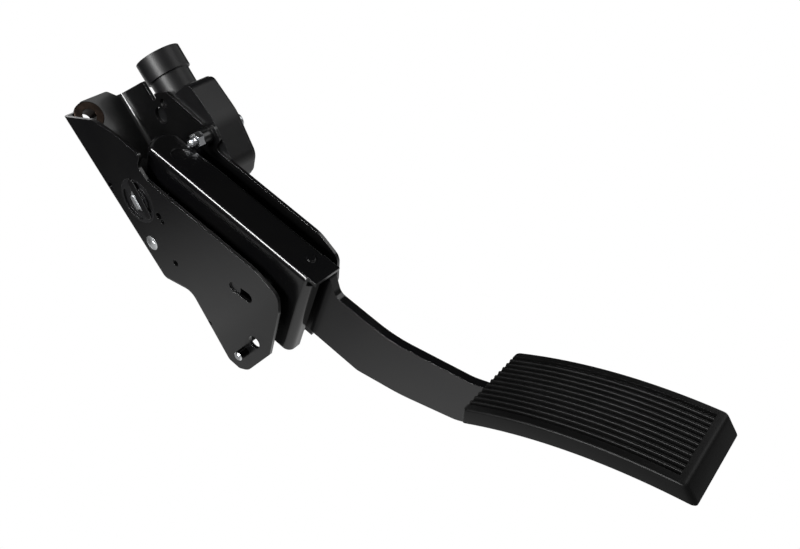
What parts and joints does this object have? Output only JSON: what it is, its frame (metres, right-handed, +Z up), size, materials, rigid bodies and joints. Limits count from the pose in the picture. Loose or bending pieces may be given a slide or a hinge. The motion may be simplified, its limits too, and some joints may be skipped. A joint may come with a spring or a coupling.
{
  "type": "accelerator pedal",
  "caption": "Suspended accelerator pedal: folded steel bracket, sprung lever on a cross shaft, curved arm with ribbed rubber pad, and a position sensor",
  "frame": {"origin": "midway between the two bulkhead bolt holes, on the rear face of the back plate", "axes": "+X to the driver's right, +Y forward into the bulkhead, +Z up"},
  "size_m": [0.0764, 0.2712, 0.2876],
  "materials": {
    "black_coated_steel": "smooth dip-coated black, semi-gloss",
    "black_moulding": "fine moulded grain, semi-matte",
    "black_bearing_plastic": "smooth, semi-matte",
    "ribbed_pad_rubber": "moulded rubber, dull",
    "black_rubber": "moulded rubber, dull",
    "zinc_plated_steel": "bright zinc plating",
    "brown_passivated_steel": "brownish passivated plating",
    "dark_spring_steel": "dark oiled spring steel",
    "tinned_brass": "tinned"
  },
  "bodies": {
    "bracket": {"bracket": "black_coated_steel", "mount_bush_upper": "brown_passivated_steel", "mount_bush_lower": "brown_passivated_steel", "pivot_bush_near": "black_bearing_plastic", "pivot_bush_far": "black_bearing_plastic", "shaft_clip": "dark_spring_steel", "spring_anchor_near": "zinc_plated_steel", "spring_anchor_far": "zinc_plated_steel", "locating_stud": "zinc_plated_steel", "idle_stop": "black_rubber", "full_travel_stop": "black_rubber", "return_spring_near": "dark_spring_steel", "return_spring_far": "dark_spring_steel", "sensor_housing": "black_moulding", "sensor_cover": "black_moulding", "sensor_seal": "black_rubber", "sensor_terminals": "tinned_brass", "sensor_screw_front": "zinc_plated_steel", "sensor_screw_rear": "zinc_plated_steel", "sensor_nut_front": "zinc_plated_steel", "sensor_nut_rear": "zinc_plated_steel"},
    "lever": {"lever_channel": "black_coated_steel", "pivot_shaft": "zinc_plated_steel", "sensor_rotor": "black_bearing_plastic", "pedal_arm": "black_coated_steel", "pad_plate": "black_coated_steel", "pedal_pad": "ribbed_pad_rubber"}
  },
  "joints": [
    {"name": "pedal_pivot", "type": "hinge", "parent": "bracket", "child": "lever", "pos_m": [0, -0.022, -0.0115], "axis": [1, 0, 0], "range_deg": [0, 15], "stiffness_Nm_per_rad": 15.6, "springref_deg": -25.21, "deforming": ["return_spring_near", "return_spring_far"]}
  ]
}
